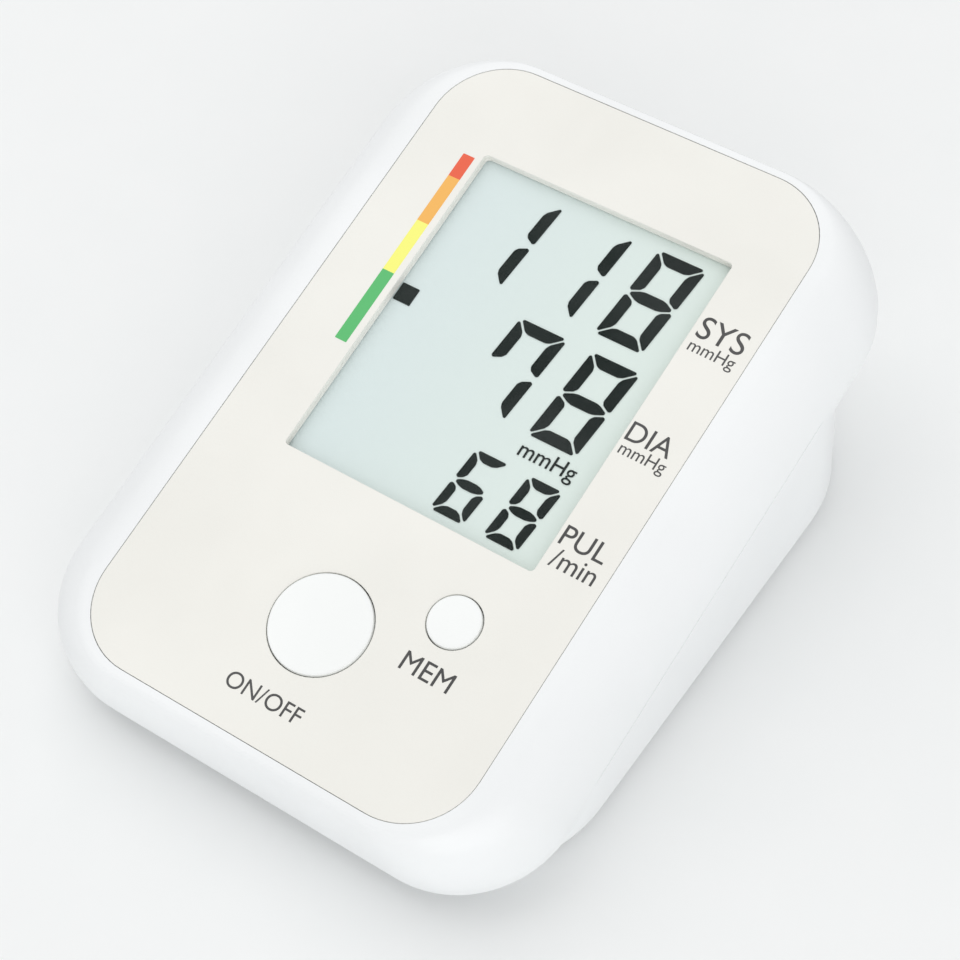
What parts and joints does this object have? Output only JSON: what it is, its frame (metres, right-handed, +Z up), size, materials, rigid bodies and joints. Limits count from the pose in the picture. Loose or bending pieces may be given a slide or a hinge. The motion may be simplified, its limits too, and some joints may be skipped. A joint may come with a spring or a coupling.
{
  "type": "digital blood pressure monitor",
  "caption": "Wedge shaped desk blood pressure monitor with a sloping display, a power key, a memory key, an air socket for a cuff and a battery door underneath.",
  "frame": {"origin": "on the table under the middle of the unit's box", "axes": "+X to the user's right, +Y from the user to the rear, +Z up"},
  "size_m": [0.1252, 0.1663, 0.0625],
  "materials": {
    "shell_white": "satin moulded housing",
    "plate_cream": "fine matt warm white",
    "key_white": "satin moulded key",
    "lens_clear": "clear moulded lens",
    "lcd_cell": "display cell with a matt polariser",
    "reflector_green": "pale grey green reflecting film",
    "inner_plastic": "plain moulded",
    "jack_plastic": "plain moulded, pale grey",
    "soft_rubber": "matt",
    "air_tube": "soft milky tube",
    "board_green": "solder mask",
    "component_black": "moulded",
    "bright_steel": "zinc plated",
    "cell_jacket": "printed foil jacket without marks",
    "lead_insulation": "wire insulation"
  },
  "bodies": {
    "housing": {"upper_case": "shell_white", "lower_case": "shell_white", "face_plate": "plate_cream", "display_window": "lens_clear", "lcd_glass": "lcd_cell", "lcd_reflector": "reflector_green", "lcd_frame": "inner_plastic", "air_tee": "inner_plastic", "pump_head": "inner_plastic", "pump_strap": "inner_plastic", "air_jack": "jack_plastic", "lcd_gasket": "soft_rubber", "zebra_strips": "soft_rubber", "rubber_feet": "soft_rubber", "pump_sleeve": "soft_rubber", "pump_tube": "air_tube", "jack_tube": "air_tube", "valve_tube": "air_tube", "sensor_tube": "air_tube", "main_board": "board_green", "board_chips": "component_black", "buzzer": "component_black", "pressure_sensor": "component_black", "on_off_switch": "component_black", "mem_switch": "component_black", "board_screws": "bright_steel", "case_screws": "bright_steel", "strap_screws": "bright_steel", "pump_motor": "bright_steel", "release_valve": "bright_steel", "battery_contacts": "bright_steel", "battery_springs": "bright_steel", "battery_cells": "cell_jacket", "battery_leads": "lead_insulation", "motor_leads": "lead_insulation", "valve_leads": "lead_insulation"},
    "on_off_key": {"on_off_button": "key_white", "on_off_plunger": "component_black"},
    "mem_key": {"mem_button": "key_white", "mem_plunger": "component_black"},
    "door": {"battery_door": "shell_white"},
    "rotor": {"pump_rotor": "bright_steel"},
    "armature": {"valve_armature": "bright_steel"}
  },
  "joints": [
    {"name": "on_off_press", "type": "slide", "parent": "housing", "child": "on_off_key", "axis": [0, 0.2334, -0.9724], "range_m": [0, 0.0008], "stiffness_N_per_m": 800, "springref_m": -0.0015},
    {"name": "mem_press", "type": "slide", "parent": "housing", "child": "mem_key", "axis": [0, 0.2334, -0.9724], "range_m": [0, 0.0008], "stiffness_N_per_m": 800, "springref_m": -0.0015},
    {"name": "door_slide", "type": "slide", "parent": "housing", "child": "door", "axis": [0, 1, 0], "range_m": [0, 0.064]},
    {"name": "rotor_spin", "type": "hinge", "parent": "housing", "child": "rotor", "pos_m": [0, -0.00998, 0.0152], "axis": [1, 0, 0], "continuous": true},
    {"name": "armature_pull", "type": "slide", "parent": "housing", "child": "armature", "axis": [-1, 0, 0], "range_m": [0, 0.0006], "stiffness_N_per_m": 300, "springref_m": -0.001}
  ]
}
